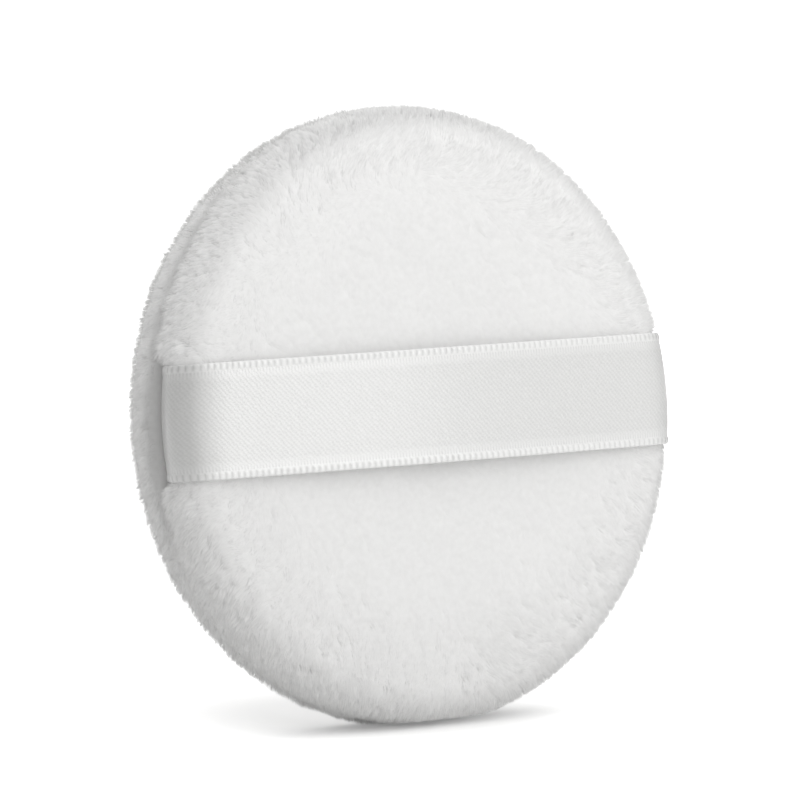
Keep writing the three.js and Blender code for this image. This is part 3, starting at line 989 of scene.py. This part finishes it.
# The sponge disc inside
def sponge(material, seed):
    rim = SPONGE_RADIUS - SPONGE_EDGE

    def lining(lobe, radius):
        return face_depth(lobe, radius) - PLUSH_THICKNESS - SEAT_CLEARANCE

    face = np.linspace(0, rim, 40)
    turn = np.linspace(0, math.pi / 2, 8)[1:]
    edge = rim + SPONGE_EDGE * np.sin(turn)
    drop = SPONGE_EDGE * (1 - np.cos(turn))
    front = np.concatenate([lining(FRONT, face), lining(FRONT, rim) - drop])
    back = np.concatenate([lining(BACK, face), lining(BACK, rim) - drop])
    radius = np.concatenate([face, edge, edge[::-1], face[::-1]])
    depth = np.concatenate([front, -back[::-1]])
    angle = np.linspace(0, 2 * math.pi, SPONGE_SEGMENTS, endpoint=False)
    rings = turned(FRONT, radius[1:-1], depth[1:-1], angle)
    tip = on_pad(FRONT, radius[:1], np.zeros(1), depth[:1])
    end = on_pad(FRONT, radius[-1:], np.zeros(1), depth[-1:])
    points = np.concatenate([tip, rings.reshape(-1, 3), end])
    dents = DENT_DEPTH * np.minimum(0, ripple(points, DENT_WAVELENGTH, seed))
    points = points + unit(points - np.array(DISC_CENTRE)) * dents[:, None]
    mesh = new_mesh("sponge_disc", points, lathe_faces(len(rings), len(angle))[:, ::-1])
    mesh.shade_smooth()
    piece = add_piece("sponge_disc", mesh, material)
    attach(piece, "pad")
    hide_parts("sponge_core")


# Floor, light and camera
def camera_rays(nodes, links):
    """1 for what the camera, a reflection or glass sees, and 0 for light on the object."""
    path = nodes.new("ShaderNodeLightPath")
    seen = calculated(nodes, links, "ADD", path.outputs["Is Camera Ray"], path.outputs["Is Glossy Ray"])
    return calculated(nodes, links, "ADD", seen, path.outputs["Is Transmission Ray"], clamp=True)


def floor():
    """A pale floor that takes the puff's shadow and fades to the white background away from it. Its glow for
    the camera is painted light: dim round SHADOW_PLACE, which paints a darker patch about the cast shadow,
    and full further out, which whitens the cast shadow there.
    """
    material, nodes, links, shader = new_material("pale_floor")
    nodes.remove(shader)
    diffuse = nodes.new("ShaderNodeBsdfDiffuse")
    diffuse.inputs["Color"].default_value = (*FLOOR_COLOUR, 1)
    place = nodes.new("ShaderNodeNewGeometry")
    from_shadow = nodes.new("ShaderNodeVectorMath")
    from_shadow.operation = "SUBTRACT"
    from_shadow.inputs[1].default_value = SHADOW_PLACE
    links.new(place.outputs["Position"], from_shadow.inputs[0])
    narrowed = nodes.new("ShaderNodeVectorMath")
    narrowed.operation = "MULTIPLY"
    narrowed.inputs[1].default_value = (FADE_SIDEWAYS, 1, 1)
    links.new(from_shadow.outputs["Vector"], narrowed.inputs[0])
    away = nodes.new("ShaderNodeVectorMath")
    away.operation = "LENGTH"
    links.new(narrowed.outputs["Vector"], away.inputs[0])
    # Painted light and shadow: the glow is dim round SHADOW_PLACE and full away from it
    fade = ranged(nodes, links, away.outputs["Value"], (NEAR_FLOOR, FAR_FLOOR), (NEAR_GLOW, FAR_GLOW))
    fade.interpolation_type = "SMOOTHSTEP"
    strength = calculated(nodes, links, "MULTIPLY", camera_rays(nodes, links), fade.outputs["Result"])
    glow = nodes.new("ShaderNodeEmission")
    links.new(strength, glow.inputs["Strength"])
    both = nodes.new("ShaderNodeAddShader")
    links.new(diffuse.outputs["BSDF"], both.inputs[0])
    links.new(glow.outputs["Emission"], both.inputs[1])
    links.new(both.outputs["Shader"], nodes["Material Output"].inputs["Surface"])
    corners = FLOOR_REACH * np.array([(-1, -1, 0), (1, -1, 0), (1, 1, 0), (-1, 1, 0)])
    mesh = new_mesh("floor", corners, np.array([[0, 1, 2, 3]]))
    mesh.materials.append(material)
    plane = bpy.data.objects.new("floor", mesh)
    plane.location = (0, SEAM_PLANE + BACK.widest, 0)
    plane.rotation_euler = (FLOOR_TILT, 0, 0)
    bpy.context.scene.collection.objects.link(plane)


def world():
    """A sky that gives most light from overhead and shows plain white."""
    made = bpy.data.worlds.new("studio")
    made.use_nodes = True
    bpy.context.scene.world = made
    nodes, links = made.node_tree.nodes, made.node_tree.links
    way = nodes.new("ShaderNodeTexCoord")
    parts = nodes.new("ShaderNodeSeparateXYZ")
    links.new(way.outputs["Generated"], parts.inputs["Vector"])
    rise = calculated(nodes, links, "MAXIMUM", parts.outputs["Z"], 0)
    focused = calculated(nodes, links, "POWER", rise, OVERHEAD_FOCUS)
    sky = ranged(nodes, links, focused, (0, 1), (AMBIENT, OVERHEAD))
    strength = ranged(nodes, links, camera_rays(nodes, links), (0, 1), (0, 1))
    links.new(sky.outputs["Result"], strength.inputs["To Min"])
    nodes["Background"].inputs["Color"].default_value = (1, 1, 1, 1)
    links.new(strength.outputs["Result"], nodes["Background"].inputs["Strength"])


def soft_light(name, place, size, power):
    lamp = bpy.data.lights.new(name, "AREA")
    lamp.shape = "RECTANGLE"
    lamp.size, lamp.size_y = size
    lamp.energy = power
    holder = bpy.data.objects.new(name, lamp)
    holder.location = place
    holder.rotation_euler = (DISC_CENTRE - place).to_track_quat("-Z", "Y").to_euler()
    bpy.context.scene.collection.objects.link(holder)


def camera():
    back = Vector((
        -math.sin(CAMERA_YAW) * math.cos(CAMERA_PITCH),
        -math.cos(CAMERA_YAW) * math.cos(CAMERA_PITCH),
        math.sin(CAMERA_PITCH)))
    level = Vector((0, 0, 1)).cross(back).normalized()
    upright = back.cross(level)
    right = level * math.cos(CAMERA_ROLL) - upright * math.sin(CAMERA_ROLL)
    up = level * math.sin(CAMERA_ROLL) + upright * math.cos(CAMERA_ROLL)
    data = bpy.data.cameras.new("camera")
    data.lens = CAMERA_LENS
    data.sensor_width = 36
    data.clip_start = 0.01
    data.clip_end = 50
    holder = bpy.data.objects.new("camera", data)
    turn = Matrix((right, up, back)).transposed().to_4x4()
    holder.matrix_world = Matrix.Translation(DISC_CENTRE + up * CAMERA_RISE + back * CAMERA_DISTANCE) @ turn
    bpy.context.scene.collection.objects.link(holder)
    bpy.context.scene.camera = holder


camera()
floor()
world()
soft_light("key", KEY_PLACE, KEY_SIZE, KEY_POWER)
soft_light("strip", STRIP_PLACE, STRIP_SIZE, STRIP_POWER)
cloth = plush_material("plush_cloth")
pile = plush_material("plush_pile")
front_skin = plush_skin("front_plush_cloth", FRONT, "front_plush_panel", cloth, seed=11)
back_skin = plush_skin("back_plush_cloth", BACK, "back_plush_panel", cloth, seed=21)
grow_pile("front_pile", FRONT, front_skin, FRONT_FIBRES, pile, seed=31)
grow_pile("back_pile", BACK, back_skin, BACK_FIBRES, pile, seed=41)
satin = satin_material()
ribbon_half("satin_ribbon_left", -1, satin)
ribbon_half("satin_ribbon_right", 1, satin)
sponge(sponge_material(), seed=71)
thread = thread_material()
for node in ("seam_needle_thread", "seam_bobbin_thread", "closing_thread"):
    frame["nodes"][node].data.materials.clear()
    frame["nodes"][node].data.materials.append(thread)
bpy.context.scene.view_settings.view_transform = "Standard"
